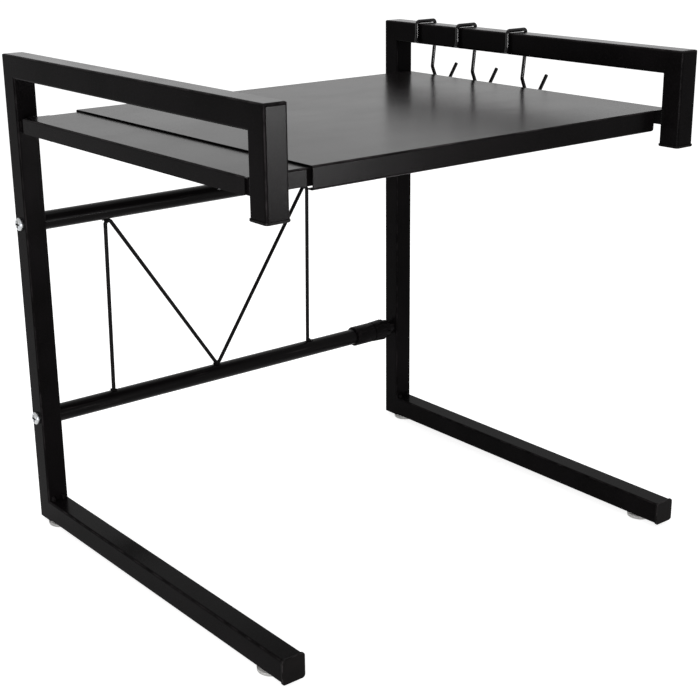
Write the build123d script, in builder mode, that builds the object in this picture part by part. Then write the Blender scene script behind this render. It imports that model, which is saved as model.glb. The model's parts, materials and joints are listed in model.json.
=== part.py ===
from build123d import *
import os
from math import atan2, cos, radians, sin, tan

os.makedirs("parts", exist_ok=True)

# An expanding stand: two C-shaped side frames of square tube, a sliding shelf in two leaves, two telescoping
# cross tubes with a bent brace wire at the back, and three loose wire hooks over the right rail.
# Millimetres. X is across, the front is -Y, Z is up from the surface that the pads stand on.
# The origin is under the middle of the stand's outer box, with the hooks and the screw heads in it.

# Side frames
frame_width = 437.0
frame_depth = 374.0
tube_side = 19.5
tube_wall = 1.2
tube_corner = 2.0
frame_corner = 2.5
post_length = 77.5
foot_reach = 3.0

# Moulded caps, plugs and pads
cap_flange = 2.0
cap_proud = 0.8
cap_bevel = 0.5
plug_length = 12.0
plug_wall = 1.6
plug_gap = 0.1
pad_radius = 11.3
pad_height = 3.2
pad_rounding = 1.2
pad_stem_radius = 2.5
pad_stem_length = 5.0
front_pad_inset = 26.0
rear_pad_inset = 22.0

# Side bars that carry the shelf
bar_width = 12.5
bar_height = 12.0
bar_wall = 1.0
bar_corner = 1.2

# Shelf leaves: the left leaf slides inside the right leaf, and the rails rise over it. Heights count from the
# underside of the foot rails.
shelf_height = 369.0
rail_rise = 51.0
sheet = 1.0
bend_radius = 1.8
leaf_gap = 0.5
skirt_gap = 2.8
left_skirt_height = 13.0
right_skirt_height = 17.3
lip_depth = 6.5
skirt_corner = 2.5
skirt_relief = 7.0
front_post_gap = 0.5
rear_upright_gap = 2.5
bar_skirt_gap = 0.7
left_leaf_end = 331.5
seam_place = 54.0
right_leaf_inset = 7.5
leaf_corner = 1.5

# Cross tubes at the back
upper_tube_height = 276.5
lower_tube_height = 98.3
outer_tube_radius = 8.0
outer_tube_wall = 1.0
inner_tube_radius = 6.7
inner_tube_wall = 1.0
inner_tube_length = 300.0
fit_gap = 0.05

# Locking collars where the cross tubes telescope: a slit sleeve, and a nut that turns on it
sleeve_stand = 7.0
sleeve_length = 45.6
sleeve_ring_length = 24.0
sleeve_ring_radius = 10.1
sleeve_core_radius = 9.2
sleeve_rounding = 0.6
nose_length = 9.0
slit_count = 4
slit_width = 1.2
slit_length = 6.0
nut_groove = 0.6
nut_length = 14.5
nut_small_radius = 10.3
nut_large_radius = 11.0
nut_rounding = 0.4
flute_count = 12
flute_radius = 2.0
flute_depth = 0.5

# Brace wire between the two outer tubes: its valley is measured from the left frame's outer face, and its
# slopes and the slight lean of its two outer legs in degrees from upright
brace_radius = 1.8
brace_bend = 3.2
brace_valley = 194.5
brace_slope = 33.9
brace_lean = 0.9
brace_gap = 0.05

# Screws and what they turn into
frame_screw_radius = 3.0
frame_screw_head_radius = 5.7
frame_screw_head = 3.2
frame_screw_dome = 2.0
frame_screw_reach = 14.0
screw_hole_gap = 0.25
insert_length = 16.0
recess_length_share = 1.2
recess_width_share = 0.28
recess_depth_share = 0.55
shelf_screw_radius = 2.0
shelf_screw_head_radius = 3.6
shelf_screw_head = 2.2
shelf_screw_dome = 1.2
shelf_screw_end_gap = 1.0
shelf_screw_inset = 45.0
shelf_nut_radius = 3.4
shelf_nut_length = 4.0
nut_hole_gap = 0.3

# Weld beads
bead_radius = 2.2
bead_spread = 4.5

# Wire hooks over the right rail, with places measured from the rail's top outer edge
hook_wire_radius = 1.75
hook_gap = 0.3
hook_bend = 2.6
hook_inner_drop = 18.0
hook_flare = 1.2
hook_flare_drop = 13.0
hook_leg_drop = 20.0
hook_leg_bend = 20.0
hook_kink_drop = 43.0
hook_kink_offset = -0.8
hook_kink_bend = 5.0
hook_apex_drop = 73.0
hook_apex_offset = 12.0
hook_bowl_bend = 9.4
hook_tip_drop = 42.3
hook_tip_offset = 32.2
hook_tip_rounding = 0.7
hook_insets = {"rear": 51.2, "middle": 108.8, "front": 175.7}

# How far the outer box goes past the side frames
hook_tip_turn = atan2(hook_tip_offset - hook_apex_offset, hook_apex_drop - hook_tip_drop)
hook_reach = hook_tip_offset + hook_wire_radius * cos(hook_tip_turn)
nut_bulge = nut_large_radius - tube_side / 2
box_width = frame_screw_head + frame_width + hook_reach
box_depth = nut_bulge + frame_depth + foot_reach + cap_flange

# Places of the side frames
frame_height = shelf_height + rail_rise
left_face = frame_screw_head - box_width / 2
right_face = left_face + frame_width
left_inner = left_face + tube_side
right_inner = right_face - tube_side
rear_face = box_depth / 2 - nut_bulge
upright_y = rear_face - tube_side / 2
upright_front = rear_face - tube_side
post_front = rear_face - frame_depth
post_y = post_front + tube_side / 2
post_rear = post_front + tube_side
foot_front = post_front - foot_reach
foot_bottom = pad_height
foot_top = foot_bottom + tube_side
rail_top = foot_bottom + frame_height
post_bottom = rail_top - post_length

# Places of the shelf leaves
left_leaf_top = foot_bottom + shelf_height
right_leaf_top = left_leaf_top + leaf_gap + sheet
right_leaf_front = post_rear + front_post_gap
right_leaf_rear = upright_front - rear_upright_gap
left_leaf_front = right_leaf_front + sheet + skirt_gap
left_leaf_rear = right_leaf_rear - sheet - skirt_gap
left_leaf_left = left_face + (tube_side - bar_width) / 2 - bar_skirt_gap - sheet
left_leaf_right = left_face + left_leaf_end
left_channel_start = left_inner + skirt_relief
right_leaf_left = left_face + seam_place
right_leaf_right = right_face - right_leaf_inset
right_channel_end = right_inner - skirt_relief

# Places along the cross tubes
upper_z = foot_bottom + upper_tube_height
lower_z = foot_bottom + lower_tube_height
sleeve_end = right_inner - sleeve_stand
sleeve_start = sleeve_end - sleeve_length
nut_start = sleeve_start + sleeve_ring_length + nut_groove
outer_tube_end = sleeve_end - nose_length

sides = {
    "left": {"face": left_face, "middle": left_face + tube_side / 2, "inward": 1, "leaf_top": left_leaf_top},
    "right": {"face": right_face, "middle": right_face - tube_side / 2, "inward": -1, "leaf_top": right_leaf_top},
}
levels = {"upper": upper_z, "lower": lower_z}
pad_places = (foot_front + front_pad_inset, rear_face - rear_pad_inset)
shelf_screw_places = (post_rear + shelf_screw_inset, upright_front - shelf_screw_inset)
rear_mitre = Plane(origin=(0, rear_face, rail_top), x_dir=(1, 0, 0), z_dir=(0, 1, -1))
front_mitre = Plane(origin=(0, post_front, rail_top), x_dir=(1, 0, 0), z_dir=(0, -1, -1))


def save(piece, node):
    """Labels a finished piece and writes its file."""
    piece.part.label = node
    export_step(piece.part, f"parts/{node}.step")


def tube_section(width, height, wall, corner):
    """The section of a rectangular tube, in the sketch that is open."""
    RectangleRounded(width, height, corner)
    Rectangle(width - 2 * wall, height - 2 * wall, mode=Mode.SUBTRACT)


def corner_sliver(plane, corner, inward, radius, depth):
    """What lies outside a rounded corner, to be cut away. Inward points from the corner into the piece."""
    with BuildPart(mode=Mode.PRIVATE) as sliver:
        with BuildSketch(plane):
            with Locations((corner[0] + inward[0] * radius / 2, corner[1] + inward[1] * radius / 2)):
                Rectangle(radius, radius)
            with Locations((corner[0] + inward[0] * radius, corner[1] + inward[1] * radius)):
                Circle(radius, mode=Mode.SUBTRACT)
        extrude(amount=depth, both=True)
    return sliver.part


def bend_reach(one_lean, other_lean, radius):
    """How far the corner of two leaning lines lies beyond the arc that rounds it, each lean in degrees."""
    half = radians(one_lean + other_lean) / 2
    tilt = radians(one_lean - other_lean) / 2
    return radius * (cos(tilt) / sin(half) - 1)


def pan_head_screw(plane, shank_radius, shank_length, head_radius, head_height, dome):
    """A screw whose head stands on the plane and whose shank goes down from it."""
    recess_length = recess_length_share * head_radius
    recess_width = recess_width_share * head_radius
    with BuildPart(mode=Mode.PRIVATE) as screw:
        with BuildSketch(plane):
            Circle(head_radius)
        extrude(amount=head_height)
        fillet(screw.faces().sort_by(Axis(plane.origin, plane.z_dir))[-1].edges(), dome)
        with BuildSketch(plane):
            Circle(shank_radius)
        extrude(amount=-shank_length)
        with BuildSketch(plane.offset(head_height)):
            Rectangle(recess_length, recess_width)
            Rectangle(recess_width, recess_length)
        extrude(amount=-recess_depth_share * head_height, mode=Mode.SUBTRACT)
    return screw.part


def end_cap(plane):
    """A cap whose flange covers a tube's end on the plane, with a hollow plug that goes down into the tube."""
    plug_side = tube_side - 2 * tube_wall - 2 * plug_gap
    with BuildPart(mode=Mode.PRIVATE) as cap:
        with BuildSketch(plane):
            RectangleRounded(tube_side + 2 * cap_proud, tube_side + 2 * cap_proud, tube_corner + cap_proud)
        extrude(amount=cap_flange)
        chamfer(cap.faces().sort_by(Axis(plane.origin, plane.z_dir))[-1].edges(), cap_bevel)
        with BuildSketch(plane):
            tube_section(plug_side, plug_side, plug_wall, plug_wall / 2)
        extrude(amount=-plug_length)
    return cap.part


# Side frames, each of five tubes with their caps, welds, pads and shelf screws
for side, place in sides.items():
    middle = place["middle"]
    inner = place["face"] + place["inward"] * tube_side
    bar_top = place["leaf_top"] - sheet
    rear_corner = corner_sliver(Plane.YZ.offset(middle), (rear_face, rail_top), (-1, -1), frame_corner, tube_side)
    front_corner = corner_sliver(Plane.YZ.offset(middle), (post_front, rail_top), (1, -1), frame_corner, tube_side)

    # The foot rail lies flat, butted against the upright, with holes for the stems of its pads
    with BuildPart() as foot_rail:
        with BuildSketch(Plane.XZ.offset(-upright_front)):
            with Locations((middle, foot_bottom + tube_side / 2)):
                tube_section(tube_side, tube_side, tube_wall, tube_corner)
        extrude(amount=upright_front - foot_front)
        with BuildSketch(Plane.XY.offset(foot_bottom)):
            with Locations(*((middle, y) for y in pad_places)):
                Circle(pad_stem_radius + fit_gap)
        extrude(amount=tube_wall, mode=Mode.SUBTRACT)
    save(foot_rail, f"{side}_foot_rail")

    # The upright, mitred at the top, with holes for the two frame screws
    with BuildPart() as upright:
        with BuildSketch(Plane.XY.offset(foot_bottom)):
            with Locations((middle, upright_y)):
                tube_section(tube_side, tube_side, tube_wall, tube_corner)
        extrude(amount=frame_height)
        split(bisect_by=rear_mitre, keep=Keep.TOP)
        add(rear_corner, mode=Mode.SUBTRACT)
        with BuildSketch(Plane.YZ.offset(middle)):
            with Locations(*((upright_y, z) for z in levels.values())):
                Circle(frame_screw_radius + screw_hole_gap)
        extrude(amount=tube_side, both=True, mode=Mode.SUBTRACT)
    save(upright, f"{side}_upright")

    # The top rail, mitred at both ends
    with BuildPart() as top_rail:
        with BuildSketch(Plane.XZ.offset(-rear_face)):
            with Locations((middle, rail_top - tube_side / 2)):
                tube_section(tube_side, tube_side, tube_wall, tube_corner)
        extrude(amount=frame_depth)
        split(bisect_by=rear_mitre, keep=Keep.BOTTOM)
        split(bisect_by=front_mitre, keep=Keep.BOTTOM)
        add(rear_corner, mode=Mode.SUBTRACT)
        add(front_corner, mode=Mode.SUBTRACT)
    save(top_rail, f"{side}_top_rail")

    # The short post that drops from the rail's front end
    with BuildPart() as drop_post:
        with BuildSketch(Plane.XY.offset(post_bottom)):
            with Locations((middle, post_y)):
                tube_section(tube_side, tube_side, tube_wall, tube_corner)
        extrude(amount=post_length)
        split(bisect_by=front_mitre, keep=Keep.TOP)
        add(front_corner, mode=Mode.SUBTRACT)
    save(drop_post, f"{side}_drop_post")

    # The side bar under the leaf, between the upright and the post, with holes for the shelf screws and nuts
    with BuildPart() as side_bar:
        with BuildSketch(Plane.XZ.offset(-upright_front)):
            with Locations((middle, bar_top - bar_height / 2)):
                tube_section(bar_width, bar_height, bar_wall, bar_corner)
        extrude(amount=upright_front - post_rear)
        with BuildSketch(Plane.XY.offset(bar_top - bar_height)):
            with Locations(*((middle, y) for y in shelf_screw_places)):
                Circle(shelf_screw_radius + screw_hole_gap)
        extrude(amount=bar_wall, mode=Mode.SUBTRACT)
        with BuildSketch(Plane.XY.offset(bar_top)):
            with Locations(*((middle, y) for y in shelf_screw_places)):
                Circle(shelf_nut_radius + nut_hole_gap)
        extrude(amount=-bar_wall, mode=Mode.SUBTRACT)
    save(side_bar, f"{side}_side_bar")

    # Nuts that are clinched to the leaf and go down through the bar's upper wall
    with BuildPart() as shelf_nuts:
        with BuildSketch(Plane.XY.offset(bar_top)):
            with Locations(*((middle, y) for y in shelf_screw_places)):
                Circle(shelf_nut_radius)
                Circle(shelf_screw_radius + fit_gap, mode=Mode.SUBTRACT)
        extrude(amount=-shelf_nut_length)
    save(shelf_nuts, f"{side}_shelf_nuts")

    # Screws that go up through the bar into those nuts
    with BuildPart() as shelf_screws:
        for y in shelf_screw_places:
            under_bar = Plane(origin=(middle, y, bar_top - bar_height), x_dir=(1, 0, 0), z_dir=(0, 0, -1))
            shank = bar_height - shelf_screw_end_gap
            add(pan_head_screw(under_bar, shelf_screw_radius, shank, shelf_screw_head_radius, shelf_screw_head,
                               shelf_screw_dome))
    save(shelf_screws, f"{side}_shelf_screws")

    # Screws that go in through the upright's outer face
    with BuildPart() as frame_screws:
        for z in levels.values():
            outside = Plane(origin=(place["face"], upright_y, z), x_dir=(0, 1, 0), z_dir=(-place["inward"], 0, 0))
            shank = tube_side + frame_screw_reach
            add(pan_head_screw(outside, frame_screw_radius, shank, frame_screw_head_radius, frame_screw_head,
                               frame_screw_dome))
    save(frame_screws, f"{side}_frame_screws")

    # Threaded inserts in the ends of the cross tubes
    tube_bore = outer_tube_radius - outer_tube_wall if side == "left" else inner_tube_radius - inner_tube_wall
    with BuildPart() as tube_inserts:
        with BuildSketch(Plane.YZ.offset(inner)):
            with Locations(*((upright_y, z) for z in levels.values())):
                Circle(tube_bore - fit_gap)
                Circle(frame_screw_radius + fit_gap, mode=Mode.SUBTRACT)
        extrude(amount=place["inward"] * insert_length)
    save(tube_inserts, f"{side}_tube_inserts")

    with BuildPart() as foot_cap:
        add(end_cap(Plane(origin=(middle, foot_front, foot_bottom + tube_side / 2), x_dir=(1, 0, 0),
                          z_dir=(0, -1, 0))))
    save(foot_cap, f"{side}_foot_cap")

    with BuildPart() as post_cap:
        add(end_cap(Plane(origin=(middle, post_y, post_bottom), x_dir=(1, 0, 0), z_dir=(0, 0, -1))))
    save(post_cap, f"{side}_post_cap")

    # The plug in the upright's lower end, flush with it
    with BuildPart() as upright_plug:
        plug_side = tube_side - 2 * tube_wall - 2 * plug_gap
        with BuildSketch(Plane.XY.offset(foot_bottom)):
            with Locations((middle, upright_y)):
                Rectangle(plug_side, plug_side)
        extrude(amount=plug_length)
        with BuildSketch(Plane.XY.offset(foot_bottom + plug_wall)):
            with Locations((middle, upright_y)):
                Rectangle(plug_side - 2 * plug_wall, plug_side - 2 * plug_wall)
        extrude(amount=plug_length, mode=Mode.SUBTRACT)
    save(upright_plug, f"{side}_upright_plug")

    # Pads with a stem that is pushed up into the foot rail
    with BuildPart() as foot_pads:
        with BuildSketch():
            with Locations(*((middle, y) for y in pad_places)):
                Circle(pad_radius)
        extrude(amount=pad_height)
        fillet(foot_pads.edges().group_by(Axis.Z)[0], pad_rounding)
        with BuildSketch(Plane.XY.offset(pad_height)):
            with Locations(*((middle, y) for y in pad_places)):
                Circle(pad_stem_radius)
        extrude(amount=pad_stem_length)
    save(foot_pads, f"{side}_foot_pads")

    # Weld beads: two where the foot meets the upright, and one on each side of the bar's two ends
    foot_beads = [(middle + x, upright_front, foot_top) for x in (-bead_spread, bead_spread)]
    bar_beads = [(middle + x, y, bar_top - bar_height / 2) for x in (-bar_width / 2, bar_width / 2)
                 for y in (upright_front, post_rear)]
    with BuildPart() as frame_welds:
        with Locations(*foot_beads, *bar_beads):
            Sphere(bead_radius)
        with Locations((middle, upright_y, rail_top / 2), (middle, post_y, rail_top / 2)):
            Box(tube_side, tube_side, rail_top, mode=Mode.SUBTRACT)
        with Locations((middle, (upright_front + foot_front) / 2, foot_top - tube_side / 2)):
            Box(tube_side, upright_front - foot_front, tube_side, mode=Mode.SUBTRACT)
        with Locations((middle, (upright_front + post_rear) / 2, bar_top - bar_height / 2)):
            Box(bar_width, upright_front - post_rear, bar_height, mode=Mode.SUBTRACT)
    save(frame_welds, f"{side}_frame_welds")

# The left leaf: a channel with front and rear skirts, and a flat stretch over the side bar with a skirt of
# its own that stops short of the frame
left_skirt_front = post_rear + skirt_relief
left_skirt_rear = upright_front - skirt_relief
left_skirt_bottom = left_leaf_top - left_skirt_height
with BuildPart() as left_shelf_leaf:
    with BuildSketch(Plane.YZ.offset(left_channel_start)):
        with BuildLine():
            FilletPolyline(
                (left_leaf_front, left_skirt_bottom),
                (left_leaf_front, left_leaf_top),
                (left_leaf_rear, left_leaf_top),
                (left_leaf_rear, left_skirt_bottom),
                radius=bend_radius,
            )
            offset(amount=sheet, side=Side.RIGHT)
        make_face()
    extrude(amount=left_leaf_right - left_channel_start)
    with BuildSketch(Plane.XY.offset(left_leaf_top)):
        with Locations((left_leaf_left, left_leaf_front)):
            Rectangle(left_channel_start - left_leaf_left, left_leaf_rear - left_leaf_front,
                      align=(Align.MIN, Align.MIN))
        with Locations((left_leaf_left, left_skirt_front)):
            Rectangle(bend_radius, left_skirt_rear - left_skirt_front, align=(Align.MIN, Align.MIN),
                      mode=Mode.SUBTRACT)
    extrude(amount=-sheet)
    with BuildSketch(Plane.XZ.offset(-left_skirt_rear)):
        with BuildLine():
            FilletPolyline(
                (left_leaf_left, left_skirt_bottom),
                (left_leaf_left, left_leaf_top),
                (left_leaf_left + 2 * bend_radius, left_leaf_top),
                radius=bend_radius,
            )
            offset(amount=sheet, side=Side.RIGHT)
        make_face()
    extrude(amount=left_skirt_rear - left_skirt_front)
    for y, inward in ((left_leaf_front, 1), (left_leaf_rear, -1)):
        add(corner_sliver(Plane.XY.offset(left_leaf_top), (left_leaf_left, y), (1, inward), leaf_corner, sheet),
            mode=Mode.SUBTRACT)
    add(corner_sliver(Plane.XZ.offset(-upright_front), (left_channel_start, left_skirt_bottom), (1, 1),
                      skirt_corner, frame_depth), mode=Mode.SUBTRACT)
    for y, inward in ((left_skirt_front, 1), (left_skirt_rear, -1)):
        add(corner_sliver(Plane.YZ.offset(left_leaf_left), (y, left_skirt_bottom), (inward, 1), skirt_corner,
                          sheet), mode=Mode.SUBTRACT)
save(left_shelf_leaf, "left_shelf_leaf")

# The right leaf: a channel whose lips turn in under the left leaf's skirts, and a flat stretch over the right bar
right_skirt_bottom = right_leaf_top - right_skirt_height
with BuildPart() as right_shelf_leaf:
    with BuildSketch(Plane.YZ.offset(right_leaf_left)):
        with BuildLine():
            FilletPolyline(
                (right_leaf_front + lip_depth, right_skirt_bottom),
                (right_leaf_front, right_skirt_bottom),
                (right_leaf_front, right_leaf_top),
                (right_leaf_rear, right_leaf_top),
                (right_leaf_rear, right_skirt_bottom),
                (right_leaf_rear - lip_depth, right_skirt_bottom),
                radius=bend_radius,
            )
            offset(amount=sheet, side=Side.RIGHT)
        make_face()
    extrude(amount=right_channel_end - right_leaf_left)
    with BuildSketch(Plane.XY.offset(right_leaf_top)):
        with Locations((right_channel_end, right_leaf_front)):
            Rectangle(right_leaf_right - right_channel_end, right_leaf_rear - right_leaf_front,
                      align=(Align.MIN, Align.MIN))
    extrude(amount=-sheet)
    for y, inward in ((right_leaf_front, 1), (right_leaf_rear, -1)):
        add(corner_sliver(Plane.XY.offset(right_leaf_top), (right_leaf_right, y), (-1, inward), leaf_corner,
                          sheet), mode=Mode.SUBTRACT)
    add(corner_sliver(Plane.XZ.offset(-upright_front), (right_channel_end, right_skirt_bottom), (-1, 1),
                      skirt_corner, frame_depth), mode=Mode.SUBTRACT)
save(right_shelf_leaf, "right_shelf_leaf")

# Cross tubes, each an outer tube on the left upright and an inner tube on the right one, with its collar
for level, z in levels.items():
    with BuildPart() as outer_tube:
        with BuildSketch(Plane.YZ.offset(left_inner)):
            with Locations((upright_y, z)):
                Circle(outer_tube_radius)
                Circle(outer_tube_radius - outer_tube_wall, mode=Mode.SUBTRACT)
        extrude(amount=outer_tube_end - left_inner)
    save(outer_tube, f"{level}_outer_tube")

    with BuildPart() as inner_tube:
        with BuildSketch(Plane.YZ.offset(right_inner)):
            with Locations((upright_y, z)):
                Circle(inner_tube_radius)
                Circle(inner_tube_radius - inner_tube_wall, mode=Mode.SUBTRACT)
        extrude(amount=-inner_tube_length)
    save(inner_tube, f"{level}_inner_tube")

    # The sleeve is fixed on the outer tube; its slit nose closes on the inner tube
    with BuildPart() as lock_sleeve:
        with BuildSketch(Plane.YZ.offset(sleeve_start)):
            with Locations((upright_y, z)):
                Circle(sleeve_core_radius)
        extrude(amount=sleeve_length)
        fillet(lock_sleeve.edges().group_by(Axis.X)[-1], sleeve_rounding)
        with BuildSketch(Plane.YZ.offset(sleeve_start)):
            with Locations((upright_y, z)):
                Circle(sleeve_ring_radius)
        extrude(amount=sleeve_ring_length)
        fillet(lock_sleeve.edges().group_by(Axis.X)[0], sleeve_rounding)
        with BuildSketch(Plane.YZ.offset(sleeve_start)):
            with Locations((upright_y, z)):
                Circle(outer_tube_radius + fit_gap)
        extrude(amount=sleeve_length - nose_length, mode=Mode.SUBTRACT)
        with BuildSketch(Plane.YZ.offset(sleeve_start)):
            with Locations((upright_y, z)):
                Circle(inner_tube_radius + fit_gap)
        extrude(amount=sleeve_length, mode=Mode.SUBTRACT)
        with BuildSketch(Plane.YZ.offset(sleeve_end)):
            with Locations((upright_y, z)):
                with PolarLocations(sleeve_core_radius, slit_count):
                    Rectangle(sleeve_core_radius, slit_width)
        extrude(amount=-slit_length, mode=Mode.SUBTRACT)
    save(lock_sleeve, f"{level}_lock_sleeve")

    # The nut flares toward the nose and has shallow flutes for the fingers
    with BuildPart() as lock_nut:
        with BuildSketch(Plane.YZ.offset(nut_start)):
            with Locations((upright_y, z)):
                Circle(nut_small_radius)
        with BuildSketch(Plane.YZ.offset(nut_start + nut_length)):
            with Locations((upright_y, z)):
                Circle(nut_large_radius)
        loft()
        fillet(lock_nut.edges().group_by(Axis.X)[0] + lock_nut.edges().group_by(Axis.X)[-1], nut_rounding)
        with BuildSketch(Plane.YZ.offset(nut_start)):
            with Locations((upright_y, z)):
                Circle(sleeve_core_radius + fit_gap)
                with PolarLocations(nut_large_radius + flute_radius - flute_depth, flute_count, 180 / flute_count):
                    Circle(flute_radius)
        extrude(amount=nut_length, mode=Mode.SUBTRACT)
    save(lock_nut, f"{level}_lock_nut")

# The brace: one wire bent up, down and up between the outer tubes, which its three bends touch
brace_low = lower_z + outer_tube_radius + brace_gap
brace_high = upper_z - outer_tube_radius - brace_gap
valley_x = left_face + brace_valley
valley_z = brace_low + brace_radius - bend_reach(brace_slope, brace_slope, brace_bend)
left_bend_z = brace_high - brace_radius + bend_reach(brace_slope, brace_lean, brace_bend)
right_bend_z = brace_high - brace_radius + bend_reach(brace_slope, -brace_lean, brace_bend)
left_bend_x = valley_x - (left_bend_z - valley_z) * tan(radians(brace_slope))
right_bend_x = valley_x + (right_bend_z - valley_z) * tan(radians(brace_slope))
with BuildPart() as brace_wire:
    with BuildLine(Plane.XZ.offset(-upright_y)) as brace_path:
        FilletPolyline(
            (left_bend_x - (left_bend_z - brace_low) * tan(radians(brace_lean)), brace_low),
            (left_bend_x, left_bend_z),
            (valley_x, valley_z),
            (right_bend_x, right_bend_z),
            (right_bend_x - (right_bend_z - brace_low) * tan(radians(brace_lean)), brace_low),
            radius=brace_bend,
        )
    with BuildSketch(Plane(origin=brace_path.line @ 0, z_dir=brace_path.line % 0)):
        Circle(brace_radius)
    sweep()
save(brace_wire, "brace_wire")

# Hooks: a short inner leg, a saddle over the rail, a leg that leans in past the rail, and a bowl with a raised tip
hook_outside = hook_gap + hook_wire_radius
for name, inset in hook_insets.items():
    with BuildPart() as hook:
        with BuildLine(Plane(origin=(right_face, rear_face - inset, rail_top), x_dir=(1, 0, 0),
                             z_dir=(0, -1, 0))) as hook_path:
            FilletPolyline(
                (-tube_side - hook_outside - hook_flare, -hook_inner_drop),
                (-tube_side - hook_outside, -hook_flare_drop),
                (-tube_side - hook_outside, hook_outside),
                (hook_outside, hook_outside),
                (hook_outside, -hook_leg_drop),
                (hook_kink_offset, -hook_kink_drop),
                (hook_apex_offset, -hook_apex_drop),
                (hook_tip_offset, -hook_tip_drop),
                radius=(hook_kink_bend, hook_bend, hook_bend, hook_leg_bend, hook_kink_bend, hook_bowl_bend),
            )
        with BuildSketch(Plane(origin=hook_path.line @ 0, z_dir=hook_path.line % 0)):
            Circle(hook_wire_radius)
        sweep()
        fillet(hook.edges().sort_by(Axis.X)[-1], hook_tip_rounding)
    save(hook, f"{name}_hook")
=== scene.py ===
import json
from math import acos, cos, pi, radians, sin, tan

import bmesh
import bpy
from mathutils import Matrix, Vector


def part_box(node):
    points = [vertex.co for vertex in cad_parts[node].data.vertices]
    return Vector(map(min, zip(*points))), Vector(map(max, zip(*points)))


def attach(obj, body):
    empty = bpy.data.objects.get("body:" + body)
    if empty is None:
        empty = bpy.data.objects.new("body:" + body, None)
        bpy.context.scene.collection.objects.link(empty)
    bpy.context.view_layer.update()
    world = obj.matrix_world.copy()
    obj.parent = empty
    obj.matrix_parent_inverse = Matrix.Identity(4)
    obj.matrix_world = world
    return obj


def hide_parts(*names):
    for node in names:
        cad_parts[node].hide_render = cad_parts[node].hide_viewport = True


# A stand for a microwave oven in black paint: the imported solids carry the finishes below, and weld beads are
# laid over the joints. Metres. X is across, the front is -Y, Z is up from the surface that the pads stand on.

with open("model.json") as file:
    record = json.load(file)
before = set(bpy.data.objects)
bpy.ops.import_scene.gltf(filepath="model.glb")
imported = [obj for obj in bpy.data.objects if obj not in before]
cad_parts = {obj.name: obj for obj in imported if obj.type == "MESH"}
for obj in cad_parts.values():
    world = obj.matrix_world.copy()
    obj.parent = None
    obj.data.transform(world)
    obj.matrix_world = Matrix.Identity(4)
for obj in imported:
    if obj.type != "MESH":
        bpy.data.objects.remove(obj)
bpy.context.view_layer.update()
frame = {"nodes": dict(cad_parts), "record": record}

micron = 0.000001

# A noise's values lie mostly between these
noise_low = 0.3
noise_high = 0.7

# Weld beads: radii, half lengths, and how far they stand from the edges that they lie on
ripple_pitch = 0.0007
ripple_unevenness = 0.12
ripple_segments = 18
ripple_rings = 10
foot_bead_radius = 0.0028
foot_bead_half = 0.0009
foot_bead_spread = 0.0050
foot_bead_shift = -0.0010
foot_bead_proud = 0.0010
bar_bead_radius = 0.0015
bar_bead_share = 0.32
bar_seed_step = 5
tack_radius = 0.0012
tack_half = 0.0018
tack_lift = 0.0004
tack_seed = 11
hairpin_reach = 0.0046

# Ground seams between the uprights and the feet
tube_corner = 0.002
seam_steps = 6
merge_distance = 0.00001

# Floor and room
floor_half = 30.0
floor_grey = 0.8
floor_shaded_grey = 0.6
floor_glow = 0.85
room_fill = 0.45
room_white = 1.0
shelf_middle = (0.0, 0.0, 0.37)

# Camera, as fitted to the straight edges of the object: angles in degrees, lens in millimetres
camera_place = Vector((-0.75036, -0.91499, 0.55755))
camera_turn = radians(38.728)
camera_dip = radians(-18.530)
camera_roll = radians(-0.528)
sensor_width = 36.0
focal_length = 72.19


# Small helpers

def colour(code):
    """A colour as a shader takes it, from the code that a paint chart gives."""
    values = []
    for start in (0, 2, 4):
        share = int(code[start:start + 2], 16) / 255
        values.append(share / 12.92 if share <= 0.04045 else ((share + 0.055) / 1.055) ** 2.4)
    return (*values, 1.0)


def grey(level):
    return (level, level, level, 1.0)


def feed(tree, inlet, value):
    """Links the inlet to the value if that is another node's outlet, and sets it to the value otherwise."""
    if isinstance(value, bpy.types.NodeSocket):
        tree.links.new(value, inlet)
    else:
        inlet.default_value = value


def add_node(tree, kind, feeds=None, **settings):
    node = tree.nodes.new(kind)
    for setting, value in settings.items():
        setattr(node, setting, value)
    for inlet, value in (feeds or {}).items():
        feed(tree, node.inputs[inlet], value)
    return node


def put_in_scene(name, data):
    item = bpy.data.objects.new(name, data)
    bpy.context.scene.collection.objects.link(item)
    return item


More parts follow.
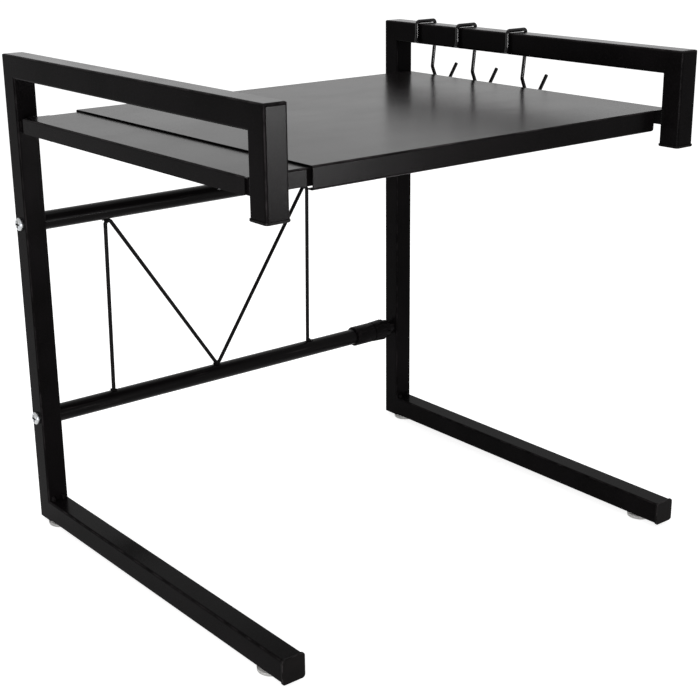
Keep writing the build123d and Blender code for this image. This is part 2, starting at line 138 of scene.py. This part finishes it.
class Finish:
    """A material in the making. Each call adds to its nodes and hands back what later calls are fed with."""

    def __init__(self, name):
        self.material = bpy.data.materials.new(name)
        self.material.use_nodes = True
        self.tree = self.material.node_tree
        self.shader = self.tree.nodes["Principled BSDF"]
        self.surface = self.add("ShaderNodeTexCoord")

    def add(self, kind, feeds=None, **settings):
        return add_node(self.tree, kind, feeds, **settings)

    def set(self, **values):
        """Feeds the shader, by its sockets' names with underscores for spaces."""
        for name, value in values.items():
            feed(self.tree, self.shader.inputs[name.replace("_", " ")], value)

    def places(self, scale, start):
        """The places on the piece that a pattern is laid by."""
        feeds = {"Vector": self.surface.outputs["Object"], "Location": start, "Scale": scale}
        return self.add("ShaderNodeMapping", feeds).outputs[0]

    def grain(self, size, stretch=(1, 1, 1), detail=2.0, start=(0, 0, 0)):
        """Soft random spots about one size across, drawn out along an axis where its stretch is over 1."""
        places = self.places([1 / (size * s) for s in stretch], start)
        return self.add("ShaderNodeTexNoise", {"Vector": places, "Scale": 1.0, "Detail": detail}).outputs[0]

    def pits(self, size, start=(0, 0, 0)):
        """The distance to the nearest of random points about one size apart."""
        places = self.places([1 / size] * 3, start)
        return self.add("ShaderNodeTexVoronoi", {"Vector": places, "Scale": 1.0}).outputs["Distance"]

    def span(self, value, start, end, low=0.0, high=1.0):
        """A value that goes from low to high while the one fed in goes from start to end."""
        feeds = {"Value": value, "From Min": start, "From Max": end, "To Min": low, "To Max": high}
        return self.add("ShaderNodeMapRange", feeds).outputs[0]

    def spread(self, noise, low=0.0, high=1.0):
        """A value that goes from low to high over a noise's usual values."""
        return self.span(noise, noise_low, noise_high, low, high)

    def cut(self, share, most):
        """A share of 0 to 1, cut down to one of 0 to the most."""
        return self.span(share, 0.0, 1.0, 0.0, most)

    def combine(self, operation, one, other):
        return self.add("ShaderNodeMath", {0: one, 1: other}, operation=operation).outputs[0]

    def tint(self, share, one, other):
        """One colour turning into another as the share goes from 0 to 1."""
        mix = self.add("ShaderNodeMix", {0: share, 6: one, 7: other}, data_type="RGBA")
        return mix.outputs[2]

    def mottled(self, noise, dark, light):
        """A ground that goes from one colour code to another with a noise."""
        return self.tint(self.spread(noise), colour(dark), colour(light))

    def powdered(self, powder, ground, code):
        """A ground that takes up to half of another colour in the grains of the powder."""
        return self.tint(self.span(powder, 0.5, 0.75, 0.0, 0.5), ground, colour(code))

    def corner(self):
        """0 on a face that is square to an axis, up to 0.3 at the middle of a rounded edge."""
        normal = self.add("ShaderNodeVectorMath", {0: self.surface.outputs["Normal"]}, operation="ABSOLUTE")
        parts = self.add("ShaderNodeSeparateXYZ", {0: normal.outputs[0]}).outputs
        largest = self.combine("MAXIMUM", self.combine("MAXIMUM", parts[0], parts[1]), parts[2])
        return self.combine("SUBTRACT", 1.0, largest)

    def rubbed_and_highlit_edges(self, patches, bare, worn, edge_start=0.04, edge_end=0.24):
        """1 where a rounded edge crosses the patches past worn, and 0 on flat faces and up to bare: a mask for
        wear and for a painted highlight along edges.
        """
        edges = self.span(self.corner(), edge_start, edge_end)
        return self.combine("MULTIPLY", edges, self.span(patches, bare, worn))

    def relief(self, height, depth, under=None):
        """A surface that rises by the depth where the height is 1."""
        feeds = {"Height": height, "Distance": depth, "Strength": 1.0}
        if under is not None:
            feeds["Normal"] = under
        return self.add("ShaderNodeBump", feeds).outputs[0]


# Finishes

def frame_paint():
    """Satin black powder coat on the square tubes: a fine grain, a slow waviness and rounded edges painted
    lighter, partly as wear and partly as a painted highlight.
    """
    coat = Finish("satin_black_powder_coat")
    cloud = coat.grain(0.045, detail=3.0)
    wave = coat.grain(0.0042, detail=1.0, start=(3, 1, 7))
    powder = coat.grain(0.0007, start=(1, 5, 2))
    # Lighter colour on rounded edges: part worn paint, part painted highlight
    rubbed_and_highlit = coat.rubbed_and_highlit_edges(coat.grain(0.011, detail=4.0, start=(9, 2, 4)), 0.42, 0.68)
    grained = coat.powdered(powder, coat.mottled(cloud, "090808", "110f10"), "1f1d1e")
    coat.set(
        Base_Color=coat.tint(rubbed_and_highlit, grained, colour("2b2829")),
        Roughness=coat.combine("SUBTRACT", coat.spread(cloud, 0.18, 0.24), coat.cut(rubbed_and_highlit, 0.04)),
        Normal=coat.relief(powder, 4 * micron, coat.relief(wave, 12 * micron)),
        Specular_IOR_Level=0.0125,
    )
    return coat.material


def shelf_paint():
    """The leaves' paint: the same black, sprayed flatter, with a soft orange peel and a few faint wiping marks."""
    coat = Finish("sprayed_black_sheet_metal")
    cloud = coat.grain(0.09, detail=3.0)
    peel = coat.grain(0.0032, detail=1.0, start=(4, 4, 1))
    powder = coat.grain(0.0006, start=(2, 8, 3))
    wiped = coat.grain(0.03, stretch=(2, 1, 1), detail=3.0, start=(0, 6, 5))
    # Lighter colour on rounded edges: part worn paint, part painted highlight
    rubbed_and_highlit = coat.rubbed_and_highlit_edges(coat.grain(0.014, detail=4.0, start=(5, 3, 8)), 0.40, 0.66)
    grained = coat.powdered(powder, coat.mottled(cloud, "0a0909", "131112"), "201d1e")
    sheen = coat.combine("ADD", coat.spread(cloud, 0.225, 0.25), coat.span(wiped, 0.45, 0.8, 0.0, 0.02))
    coat.set(
        Base_Color=coat.tint(rubbed_and_highlit, grained, colour("332f30")),
        Roughness=coat.combine("SUBTRACT", sheen, coat.cut(rubbed_and_highlit, 0.05)),
        Normal=coat.relief(powder, 3 * micron, coat.relief(peel, 6 * micron)),
        Specular_IOR_Level=0.019,
    )
    return coat.material


def tube_paint():
    """Smoother black on the round cross tubes, with draw lines and scuffs along them."""
    coat = Finish("smooth_black_tube_paint")
    cloud = coat.grain(0.04, stretch=(4, 1, 1), detail=3.0)
    drawn = coat.grain(0.0012, stretch=(60, 1, 1), start=(2, 2, 9))
    speck = coat.grain(0.0008, start=(6, 1, 1))
    scratches = coat.span(coat.grain(0.0016, stretch=(30, 1, 1), detail=3.0, start=(7, 7, 0)), 0.56, 0.72)
    stretches = coat.span(coat.grain(0.03, stretch=(3, 1, 1), start=(1, 9, 4)), 0.45, 0.65)
    scuff = coat.combine("MULTIPLY", scratches, stretches)
    coat.set(
        Base_Color=coat.tint(coat.cut(scuff, 0.8), coat.mottled(cloud, "080707", "0f0d0e"), colour("2e2a2b")),
        Roughness=coat.combine("ADD", coat.spread(cloud, 0.26, 0.34), coat.cut(scuff, 0.12)),
        Normal=coat.relief(speck, 7 * micron, coat.relief(drawn, 12 * micron)),
        Specular_IOR_Level=0.045,
    )
    return coat.material


def wire_paint():
    """Black dip paint on the brace: thicker in places, with runs down the wire and a few chips."""
    coat = Finish("black_wire_dip_paint")
    run = coat.grain(0.006, stretch=(1, 1, 3))
    speck = coat.grain(0.0007, start=(3, 8, 1))
    chip = coat.span(coat.grain(0.0035, detail=4.0, start=(8, 2, 6)), 0.63, 0.72)
    coat.set(
        Base_Color=coat.tint(coat.cut(chip, 0.6), coat.mottled(run, "080707", "0f0d0e"), colour("2d2a2a")),
        Roughness=coat.spread(run, 0.26, 0.38),
        Normal=coat.relief(speck, 8 * micron, coat.relief(run, 60 * micron)),
        Specular_IOR_Level=0.07,
    )
    return coat.material


def hook_coat():
    """Glossy black plastic coat on the hooks, wavy where it dripped, with faint rub marks."""
    coat = Finish("glossy_black_dip_coat")
    drip = coat.grain(0.005, stretch=(1, 1, 2), detail=1.0)
    cloud = coat.grain(0.02, detail=3.0, start=(4, 4, 4))
    rub = coat.span(coat.grain(0.0025, stretch=(1, 3, 1), detail=4.0, start=(7, 1, 3)), 0.58, 0.74)
    coat.set(
        Base_Color=coat.tint(coat.cut(rub, 0.5), coat.mottled(cloud, "060506", "0c0a0b"), colour("262324")),
        Roughness=coat.combine("ADD", coat.spread(cloud, 0.09, 0.13), coat.cut(rub, 0.10)),
        Normal=coat.relief(drip, 30 * micron),
        Specular_IOR_Level=0.18,
    )
    return coat.material


def bright_zinc():
    """Zinc on the screws and nuts: bright, with small crystals, faint turning marks, dirt spots, and painted shade
    darkening the low places.
    """
    plate = Finish("bright_zinc_plate")
    crystal = plate.pits(0.0007)
    cloud = plate.grain(0.004, detail=3.0, start=(2, 2, 2))
    turned = plate.grain(0.0003, stretch=(8, 1, 1), start=(5, 0, 1))
    spots = plate.span(plate.grain(0.0018, detail=4.0, start=(0, 9, 9)), 0.56, 0.72)
    # Painted shade: the colour goes dark where ambient occlusion finds the recess and the ring round the head
    # closed in
    painted_recess_shade = plate.add("ShaderNodeAmbientOcclusion", {"Distance": 0.0016}, samples=12).outputs["AO"]
    dirt_and_painted_shade = plate.combine("MAXIMUM", plate.span(painted_recess_shade, 0.85, 0.45), plate.combine("MULTIPLY", spots, 0.45))
    ground = plate.tint(plate.span(crystal, 0.2, 0.8), colour("cfd2d6"), colour("a4a8ad"))
    toned = plate.tint(plate.span(cloud, 0.35, 0.7, 0.0, 0.5), ground, colour("a6a398"))
    plate.set(
        # The dark colour of the dirt spots and of the painted shade in the low places
        Base_Color=plate.tint(dirt_and_painted_shade, toned, colour("1c1b1a")),
        Metallic=1.0,
        Roughness=plate.combine("ADD", plate.spread(cloud, 0.20, 0.32), plate.cut(dirt_and_painted_shade, 0.2)),
        Normal=plate.relief(turned, 6 * micron, plate.relief(crystal, 10 * micron)),
    )
    return plate.material


def cap_plastic():
    """Moulded black caps: a fine leathery grain, with corners painted lighter, partly as polish from handling and
    partly as a painted highlight.
    """
    moulding = Finish("moulded_black_caps")
    leather = moulding.pits(0.0009)
    cloud = moulding.grain(0.012, detail=3.0, start=(6, 6, 1))
    patches = moulding.grain(0.004, detail=4.0, start=(1, 2, 8))
    # Lighter colour on rounded corners: part polish from handling, part painted highlight
    rubbed_and_highlit = moulding.rubbed_and_highlit_edges(patches, 0.4, 0.65, edge_start=0.05, edge_end=0.28)
    moulding.set(
        Base_Color=moulding.tint(rubbed_and_highlit, moulding.mottled(cloud, "0c0b0b", "141212"), colour("353233")),
        Roughness=moulding.combine("SUBTRACT", moulding.spread(cloud, 0.42, 0.52), moulding.cut(rubbed_and_highlit, 0.12)),
        Normal=moulding.relief(leather, 40 * micron),
        Specular_IOR_Level=0.032,
    )
    return moulding.material


def collar_plastic():
    """Black nylon of the locking collars: semi-gloss, slightly mottled, with grip marks along them."""
    nylon = Finish("black_nylon_collars")
    mottle = nylon.grain(0.008, detail=3.0)
    skin = nylon.pits(0.0012, start=(3, 3, 3))
    grip = nylon.span(nylon.grain(0.002, stretch=(5, 1, 1), detail=4.0, start=(4, 1, 9)), 0.56, 0.72)
    nylon.set(
        Base_Color=nylon.tint(nylon.cut(grip, 0.5), nylon.mottled(mottle, "080707", "0f0d0e"), colour("2f2b2c")),
        Roughness=nylon.combine("ADD", nylon.spread(mottle, 0.34, 0.42), nylon.cut(grip, 0.1)),
        Normal=nylon.relief(skin, 25 * micron),
        Specular_IOR_Level=0.026,
    )
    return nylon.material


def pad_rubber():
    """Clear grey rubber of the pads: milky, with dust in its grain."""
    rubber = Finish("milky_grey_rubber")
    milk = rubber.grain(0.006, detail=3.0)
    grain = rubber.grain(0.0006, start=(2, 7, 2))
    dust = rubber.span(rubber.grain(0.0022, detail=4.0, start=(9, 1, 1)), 0.52, 0.7)
    rubber.set(
        Base_Color=rubber.tint(rubber.cut(dust, 0.5), rubber.mottled(milk, "a9a8a6", "c2c1bf"), colour("8b8986")),
        Roughness=rubber.combine("ADD", rubber.spread(milk, 0.32, 0.42), rubber.cut(dust, 0.2)),
        Normal=rubber.relief(grain, 10 * micron),
        Transmission_Weight=0.35,
        IOR=1.42,
        Specular_IOR_Level=0.5,
    )
    return rubber.material


finishes = {
    "frame_paint": frame_paint(),
    "shelf_paint": shelf_paint(),
    "tube_paint": tube_paint(),
    "wire_paint": wire_paint(),
    "hook_coat": hook_coat(),
    "bright_zinc": bright_zinc(),
    "cap_plastic": cap_plastic(),
    "collar_plastic": collar_plastic(),
    "pad_rubber": pad_rubber(),
}
for part in frame["record"]["subparts"]:
    for slot in frame["nodes"][part["node"]].material_slots:
        slot.material = finishes[part["material_slot"]]


# Weld beads

def ripple_tree(material):
    """A tree that lays overlapping ripples of weld metal along the edges of a mesh."""
    tree = bpy.data.node_groups.new("weld_ripples", "GeometryNodeTree")
    tree.is_modifier = True
    sockets = tree.interface
    sockets.new_socket("Seams", in_out="INPUT", socket_type="NodeSocketGeometry")
    for name, value in (("Bead radius", bar_bead_radius), ("Ripple pitch", ripple_pitch),
                        ("Unevenness", ripple_unevenness)):
        sockets.new_socket(name, in_out="INPUT", socket_type="NodeSocketFloat").default_value = value
    sockets.new_socket("Seed", in_out="INPUT", socket_type="NodeSocketInt")
    sockets.new_socket("Beads", in_out="OUTPUT", socket_type="NodeSocketGeometry")
    given = add_node(tree, "NodeGroupInput").outputs

    # Points along the seams, one for each ripple
    curve = add_node(tree, "GeometryNodeMeshToCurve", {0: given["Seams"]})
    steps = add_node(tree, "GeometryNodeResampleCurve", mode="LENGTH")
    feed(tree, steps.inputs["Curve"], curve.outputs[0])
    feed(tree, steps.inputs["Length"], given["Ripple pitch"])
    tangent = add_node(tree, "GeometryNodeInputTangent")
    turned = add_node(tree, "FunctionNodeAlignRotationToVector", {"Vector": tangent.outputs[0]}, axis="Z")

    # Each ripple is a flattened ball whose width is drawn at random
    least = add_node(tree, "ShaderNodeMath", {0: 1.0, 1: given["Unevenness"]}, operation="SUBTRACT")
    most = add_node(tree, "ShaderNodeMath", {0: 1.0, 1: given["Unevenness"]}, operation="ADD")
    uneven = add_node(tree, "FunctionNodeRandomValue", {"Seed": given["Seed"]}, data_type="FLOAT")
    ends = {inlet.name: inlet for inlet in uneven.inputs if inlet.type == "VALUE"}
    feed(tree, ends["Min"], least.outputs[0])
    feed(tree, ends["Max"], most.outputs[0])
    drawn = next(outlet for outlet in uneven.outputs if outlet.type == "VALUE")
    width = add_node(tree, "ShaderNodeMath", {0: given["Bead radius"], 1: drawn}, operation="MULTIPLY").outputs[0]
    shape = add_node(tree, "ShaderNodeCombineXYZ", {0: width, 1: width, 2: given["Ripple pitch"]})
    drop = add_node(tree, "GeometryNodeMeshUVSphere",
                    {"Segments": ripple_segments, "Rings": ripple_rings, "Radius": 1.0})

    laid = add_node(tree, "GeometryNodeInstanceOnPoints",
                    {"Points": steps.outputs[0], "Instance": drop.outputs["Mesh"],
                     "Rotation": turned.outputs[0], "Scale": shape.outputs[0]})
    real = add_node(tree, "GeometryNodeRealizeInstances", {0: laid.outputs[0]})
    smooth = add_node(tree, "GeometryNodeSetShadeSmooth", {0: real.outputs[0]})
    coated = add_node(tree, "GeometryNodeSetMaterial", {"Geometry": smooth.outputs[0], "Material": material})
    add_node(tree, "NodeGroupOutput", {0: coated.outputs[0]})
    return tree


weld_tree = ripple_tree(finishes["frame_paint"])


def weld_beads(name, seams, bead_radius, seed):
    """A plain mesh of beads along seams, each given by its two ends."""
    lines = bpy.data.meshes.new(name + "_seams")
    points = [point for seam in seams for point in seam]
    lines.from_pydata(points, [(2 * i, 2 * i + 1) for i in range(len(seams))], [])
    line = put_in_scene(name + "_line", lines)
    ripples = line.modifiers.new("ripples", "NODES")
    ripples.node_group = weld_tree
    sizes = {"Bead radius": bead_radius, "Ripple pitch": ripple_pitch, "Seed": seed}
    for socket in weld_tree.interface.items_tree:
        if socket.name in sizes:
            ripples[socket.identifier] = sizes[socket.name]
    depsgraph = bpy.context.evaluated_depsgraph_get()
    mesh = bpy.data.meshes.new_from_object(line.evaluated_get(depsgraph), depsgraph=depsgraph)
    bpy.data.objects.remove(line)
    return put_in_scene(name, mesh)


def ground_seam(name, side):
    """The weld that fills the groove between the upright's round corners and the foot rail, ground flush."""
    upright_low, upright_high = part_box(f"{side}_upright")
    foot_low, foot_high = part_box(f"{side}_foot_rail")
    quarter = radians(90)
    mesh = bmesh.new()
    for face, inward in ((upright_low.x, 1), (upright_high.x, -1)):
        rows = []
        for end, up in ((foot_low.z, 1), (foot_high.z, -1)):
            levels = [radians(90 * step / seam_steps) for step in range(1, seam_steps + 1)]
            for turn in levels if up == 1 else reversed(levels):
                inset = tube_corner * (1 - sin(turn))
                height = end + up * tube_corner * (1 - cos(turn))
                first = acos(1 - inset / tube_corner)
                row = [mesh.verts.new((face + inward * inset, upright_low.y, height))]
                for step in range(seam_steps + 1):
                    bend = first + (quarter - first) * step / seam_steps
                    row.append(mesh.verts.new((face + inward * tube_corner * (1 - cos(bend)),
                                               upright_low.y + tube_corner * (1 - sin(bend)), height)))
                rows.append(row)
        for lower, upper in zip(rows, rows[1:]):
            for i in range(len(lower)):
                j = (i + 1) % len(lower)
                mesh.faces.new((lower[i], lower[j], upper[j], upper[i]))
        mesh.faces.new(rows[0])
        mesh.faces.new(rows[-1])
    bmesh.ops.remove_doubles(mesh, verts=mesh.verts, dist=merge_distance)
    bmesh.ops.recalc_face_normals(mesh, faces=mesh.faces)
    data = bpy.data.meshes.new(name)
    mesh.to_mesh(data)
    mesh.free()
    data.materials.append(finishes["frame_paint"])
    return put_in_scene(name, data)


for seed, side in enumerate(("left", "right")):
    body = f"{side}_half"
    upright_low, upright_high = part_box(f"{side}_upright")
    foot_low, foot_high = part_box(f"{side}_foot_rail")
    bar_low, bar_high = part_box(f"{side}_side_bar")

    # Two short beads side by side in the corner of the upright and the foot
    middle = (upright_low.x + upright_high.x) / 2
    seams = []
    for spread in (-foot_bead_spread, foot_bead_spread):
        place = middle + foot_bead_shift + spread
        seams.append([(place + reach, upright_low.y - foot_bead_proud, foot_high.z + foot_bead_proud)
                      for reach in (-foot_bead_half, foot_bead_half)])
    foot_beads = weld_beads(f"{side}_foot_weld", seams, foot_bead_radius, seed)

    # An upright bead on each side of both ends of the side bar
    bar_reach = (bar_high.z - bar_low.z) * bar_bead_share
    bar_middle = (bar_low.z + bar_high.z) / 2
    seams = [((x, y, bar_middle - bar_reach), (x, y, bar_middle + bar_reach))
             for x in (bar_low.x, bar_high.x) for y in (bar_low.y, bar_high.y)]
    bar_beads = weld_beads(f"{side}_bar_welds", seams, bar_bead_radius, seed + bar_seed_step)

    foot_seam = ground_seam(f"{side}_foot_seam", side)
    for piece in (foot_beads, bar_beads, foot_seam):
        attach(piece, body)
    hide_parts(f"{side}_frame_welds")

# Tacks in front of and behind the brace, where it touches the lower tube and, at its two hairpins, the upper one
brace_low, brace_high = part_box("brace_wire")
brace_middle = (brace_low + brace_high) / 2
wire_radius = (brace_high.y - brace_low.y) / 2
tack_places = [(x, brace_low.z + tack_lift)
               for x in (brace_low.x + wire_radius, brace_middle.x, brace_high.x - wire_radius)]
tack_places += [(x, brace_high.z - tack_lift) for x in (brace_low.x + hairpin_reach, brace_high.x - hairpin_reach)]
seams = [((x - tack_half, y, z), (x + tack_half, y, z))
         for x, z in tack_places for y in (brace_low.y, brace_high.y)]
tacks = weld_beads("brace_tacks", seams, tack_radius, tack_seed)
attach(tacks, "left_half")


# Floor, lamps, room and camera

def seen_directly(tree):
    """1 for what the camera sees straight, in a mirror or through glass, 0 for light that falls on things."""
    ray = add_node(tree, "ShaderNodeLightPath").outputs
    seen = ray["Is Camera Ray"]
    for kind in ("Is Glossy Ray", "Is Transmission Ray"):
        seen = add_node(tree, "ShaderNodeMath", {0: seen, 1: ray[kind]}, operation="MAXIMUM").outputs[0]
    return seen


def floor_cover():
    """Pale floor: white where the camera sees it lit, and darker where the stand shades it."""
    material = bpy.data.materials.new("pale_floor")
    material.use_nodes = True
    tree = material.node_tree
    tree.nodes.clear()
    plain = add_node(tree, "ShaderNodeBsdfDiffuse", {"Color": grey(floor_grey)})
    glow = add_node(tree, "ShaderNodeEmission", {"Strength": floor_glow})
    shaded = add_node(tree, "ShaderNodeBsdfDiffuse", {"Color": grey(floor_shaded_grey)})
    bright = add_node(tree, "ShaderNodeAddShader", {0: glow.outputs[0], 1: shaded.outputs[0]})
    choice = add_node(tree, "ShaderNodeMixShader",
                      {0: seen_directly(tree), 1: plain.outputs[0], 2: bright.outputs[0]})
    add_node(tree, "ShaderNodeOutputMaterial", {"Surface": choice.outputs[0]})
    return material


floor_mesh = bpy.data.meshes.new("floor")
floor_mesh.from_pydata([(-floor_half, -floor_half, 0), (floor_half, -floor_half, 0), (floor_half, floor_half, 0),
                        (-floor_half, floor_half, 0)], [], [(0, 1, 2, 3)])
floor_mesh.materials.append(floor_cover())
floor = put_in_scene("floor", floor_mesh)


def lamp(name, place, aim, width, height, radiance, grid=None):
    """A soft box whose face is as bright as the radiance says, where 1 is white. A grid narrows its beam."""
    data = bpy.data.lights.new(name, "AREA")
    data.shape = "RECTANGLE"
    data.size = width
    data.size_y = height
    data.energy = radiance * pi * width * height
    if grid is not None:
        data.spread = radians(grid)
        data.energy *= 1 - radians(grid / 2) / tan(radians(grid / 2))
    item = put_in_scene(name, data)
    item.location = place
    item.rotation_mode = "QUATERNION"
    item.rotation_quaternion = (Vector(aim) - Vector(place)).to_track_quat("-Z", "Y")
    item.visible_camera = False
    return item


lamp("back_lamp", (0.70, 0.86, 0.90), shelf_middle, width=1.4, height=0.86, radiance=0.70)
lamp("top_lamp", (0.05, 0.10, 1.90), shelf_middle, width=0.60, height=0.50, radiance=12.0)
lamp("camera_lamp", (-0.95, -0.86, 0.19), (-0.05, -0.10, 0.19), width=0.5, height=0.36, radiance=10.0)

# The front lamp stands where the left post's front mirrors it to the camera, and only its beam is bright
lamp("front_lamp", (0.79, -1.60, 0.19), (-0.224, -0.185, 0.33), width=0.20, height=0.36, radiance=215.0, grid=17)

# The hook lamp lights nothing but the hooks
hook_lamp = lamp("hook_lamp", (-0.03, -1.60, 0.24), (0.18, 0.08, 0.24), width=0.22, height=0.36, radiance=80.0)
hooks = bpy.data.collections.new("hooks_lit_alone")
hook_lamp.light_linking.receiver_collection = hooks
for part in frame["record"]["subparts"]:
    if part["material_slot"] == "hook_coat":
        hooks.objects.link(frame["nodes"][part["node"]])

room = bpy.data.worlds.new("white_room")
bpy.context.scene.world = room
room.use_nodes = True
tree = room.node_tree
tree.nodes.clear()
fill = add_node(tree, "ShaderNodeBackground", {"Color": grey(1.0), "Strength": room_fill})
white = add_node(tree, "ShaderNodeBackground", {"Color": grey(1.0), "Strength": room_white})
choice = add_node(tree, "ShaderNodeMixShader", {0: seen_directly(tree), 1: fill.outputs[0], 2: white.outputs[0]})
add_node(tree, "ShaderNodeOutputWorld", {"Surface": choice.outputs[0]})

ahead = Vector((sin(camera_turn) * cos(camera_dip), cos(camera_turn) * cos(camera_dip), sin(camera_dip)))
level = Vector((cos(camera_turn), -sin(camera_turn), 0.0))
upward = level.cross(ahead)
picture_right = cos(camera_roll) * level + sin(camera_roll) * upward
picture_up = cos(camera_roll) * upward - sin(camera_roll) * level
lens = bpy.data.cameras.new("camera")
lens.sensor_width = sensor_width
lens.lens = focal_length
camera = put_in_scene("camera", lens)
camera.matrix_world = (Matrix.Translation(camera_place)
                       @ Matrix((picture_right, picture_up, -ahead)).transposed().to_4x4())
bpy.context.scene.camera = camera

bpy.context.scene.view_settings.view_transform = "Standard"
